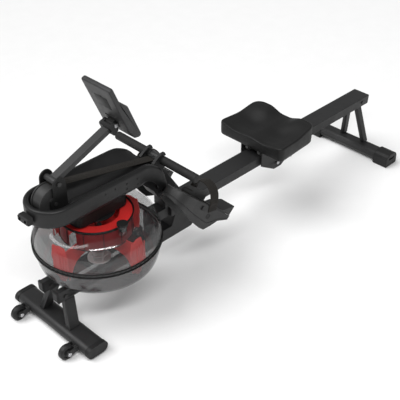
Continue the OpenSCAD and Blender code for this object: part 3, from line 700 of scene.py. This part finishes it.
def foot_path(inset):
    """Plan of a foot plate, from the inner heel round the nose to the outer heel, as (along, across)."""
    mid, radius = (FOOT_IN + FOOT_OUT) / 2, (FOOT_OUT - FOOT_IN) / 2 - inset
    taper_s, nose_steps = 400, 24
    path = [(FOOT_L, HEEL_IN - 2.6 + inset), (430, 120 + inset)]
    path += [(taper_s - 38.8 * k, FOOT_IN + inset) for k in range(6)]
    for k in range(nose_steps + 1):
        a = math.radians(-90 - 180 * k / nose_steps)
        path.append((NOSE_S + radius * math.cos(a), mid + radius * math.sin(a)))
    path += [(NOSE_S + 29.3 * k, FOOT_OUT - inset) for k in range(1, 11)]
    return [Vector(p) for p in path]


def wall_depth(s):
    """How far the foot plate's side wall reaches below the sole at a place along it."""
    line = [(100, 38), (126, 52), (192, 72), (272, 90), (330, 98), (347, 95), (388, 57), (397, 43),
            (460, 20)]
    for (s0, d0), (s1, d1) in zip(line, line[1:]):
        if s <= s1:
            return d0 + (d1 - d0) * (s - s0) / (s1 - s0)
    return line[-1][1]


def foot_wall():
    """The wall round the shoe-shaped plan of a foot plate, with a groove along its outside."""
    path = foot_path(0)
    rings = []
    for i, p in enumerate(path):
        along = (path[min(i + 1, len(path) - 1)] - path[max(i - 1, 0)]).normalized()
        inward = Vector((-along.y, along.x)) * -1
        deep = wall_depth(p.x)
        groove = -0.66 * deep
        section = [(1.8, 0), (0.5, -0.5), (0, -1.8), (0, groove), (1.6, groove - 0.8), (1.6, groove - 2.6),
                   (0, groove - 3.4), (0, 1.6 - deep), (1.6, -deep), (FOOT_WALL, -deep), (FOOT_WALL, 0)]
        rings.append([Vector((*(p + inward * inset), t)) for inset, t in section])
    return loft(rings)


def build_feet():
    """Each foot plate: its side wall, a ribbed sole, an inner guard, two slots, a line and a recess."""
    at = placed(TOE, FOOT_TILT)
    piece("foot_cheeks", moved(mirrored(foot_wall()), at), "foot_grey", "frame", ("foot_plates",))
    sole = loft([[Vector((p.x, p.y, t)) for p in foot_path(FOOT_WALL - 1)] for t in (-8, -1)])
    ribs = [block((s, FOOT_IN + 16, -1.5), (s + 5, FOOT_OUT - 12, 1.2)) for s in range(150, 260, 16)]
    webs = [block((s, FOOT_IN + 5, low), (s + 6, FOOT_OUT - 5, -7)) for s, low in ((300, -62), (386, -44))]
    guard_line = fillet([(232, -4), (232, 17), (262, 34), (396, 40), (396, -4)], [1, 6, 14, 8, 1], 4)
    guard = plate(guard_line, 108, 113, 1.2, 2)
    piece("foot_soles", moved(mirrored(merged([sole, guard] + ribs + webs)), at), "foot_grey", "frame")
    slots = [block((236, 112.6, t), (296, 114, t + 4)) for t in (2, 16)]
    line = block((150, FOOT_OUT - 8.6, -2), (262, FOOT_OUT - 6.2, 1.4))
    piece("foot_trim", moved(mirrored(merged(slots + [line])), at), "webbing", "frame")
    ring_at = Matrix.Translation((327, FOOT_OUT, -40))
    recess_line = [(0.3, -1), (12, -1), (12, 0.5), (8, 0.5), (7, -0.5), (0.3, -0.5)]
    recess = moved(lathe(recess_line, (0, 0, 0), 32, across=True), ring_at)
    piece("foot_recess", moved(mirrored(recess), at), "foot_grey", "frame", look=DARK_PLASTIC)


# ---------------------------------------------------------------- carried-over CAD nodes
SOFT_EDGES = {
    "console_arm": 3, "console_clamp": 3, "seat_rail": 2.5, "lower_tubes": 3, "front_uprights": 3,
    "centre_beam": 3, "pillar": 2.5, "fork_holder": 2, "pivot_bracket": 1.6, "front_hook": 3,
    "rear_caps": 3, "drive_housing": 4, "lower_tube_caps": 2.5, "seat_carriage": 1.5,
    "heel_cup_left": 1, "heel_cup_right": 1,
}


def dress_cad():
    """Every carried-over CAD node gets its slot's material and softened edges."""
    slots = {row["node"]: row["material_slot"] for row in frame["record"]["subparts"]}
    for name, obj in NODES.items():
        obj.data.materials.clear()
        obj.data.materials.append(LOOKS.get(name, MATS[slots[name]]))
        weld = obj.modifiers.new("weld", "WELD")
        weld.merge_threshold = 1e-5
        soften(obj, SOFT_EDGES.get(name, 1.0))


# ---------------------------------------------------------------- stage
def in_scene(name, data):
    """A new object in the scene for a light's or camera's data."""
    obj = bpy.data.objects.new(name, data)
    bpy.context.scene.collection.objects.link(obj)
    return obj


def facing(direction):
    """Rotation that points a light or camera along direction."""
    return direction.to_track_quat("-Z", "Y")


def studio():
    """White floor and surroundings, a broad sun from the upper left and a strip light aimed at the tank."""
    bpy.ops.mesh.primitive_plane_add(size=60, location=(0, 0, -0.0005))
    floor = bpy.context.object
    floor.name = "floor"
    paint = solid("floor_paint", (0.88, 0.88, 0.88), (0.8, 0.9), strength=0.0, spread=0.01)
    floor.data.materials.append(paint)
    world = bpy.data.worlds.new("studio")
    bpy.context.scene.world = world
    world.use_nodes = True
    sky = world.node_tree.nodes["Background"]
    sky.inputs["Color"].default_value = (1, 1, 1, 1)
    sky.inputs["Strength"].default_value = 0.36
    key = bpy.data.lights.new("key", "SUN")
    key.energy = 2.45
    key.angle = math.radians(50)
    in_scene("key", key).rotation_euler = facing(Vector((0.42, -0.36, -0.83))).to_euler()
    strip = bpy.data.lights.new("strip", "AREA")
    strip.shape = "RECTANGLE"
    strip.size = 2.2
    strip.size_y = 0.35
    strip.energy = 62
    lamp = in_scene("strip", strip)
    lamp.location = (-1.55, -1.75, 3.0)
    tank_middle = Vector((TANK_X * MM, 0, 0.43))
    lamp.rotation_euler = facing(tank_middle - lamp.location).to_euler()


def camera():
    """Quarter view of the tank end and the near side, from above."""
    heading, elevation = math.radians(44.83), math.radians(35.32)
    look = Vector((math.cos(heading) * math.cos(elevation), math.sin(heading) * math.cos(elevation),
                   -math.sin(elevation)))
    data = bpy.data.cameras.new("camera")
    data.lens = 75.7
    data.sensor_width = 36
    cam = in_scene("camera", data)
    cam.location = (-2.207, -2.064, 2.290)
    cam.rotation_mode = "QUATERNION"
    cam.rotation_quaternion = facing(look)
    bpy.context.scene.camera = cam


bpy.context.scene.view_settings.view_transform = "Standard"
dress_cad()
build_tank()
build_rotor()
build_bearing()
build_cover()
build_pull_strap()
build_foot_straps()
build_seat()
build_console()
build_grips()
build_feet()
studio()
camera()
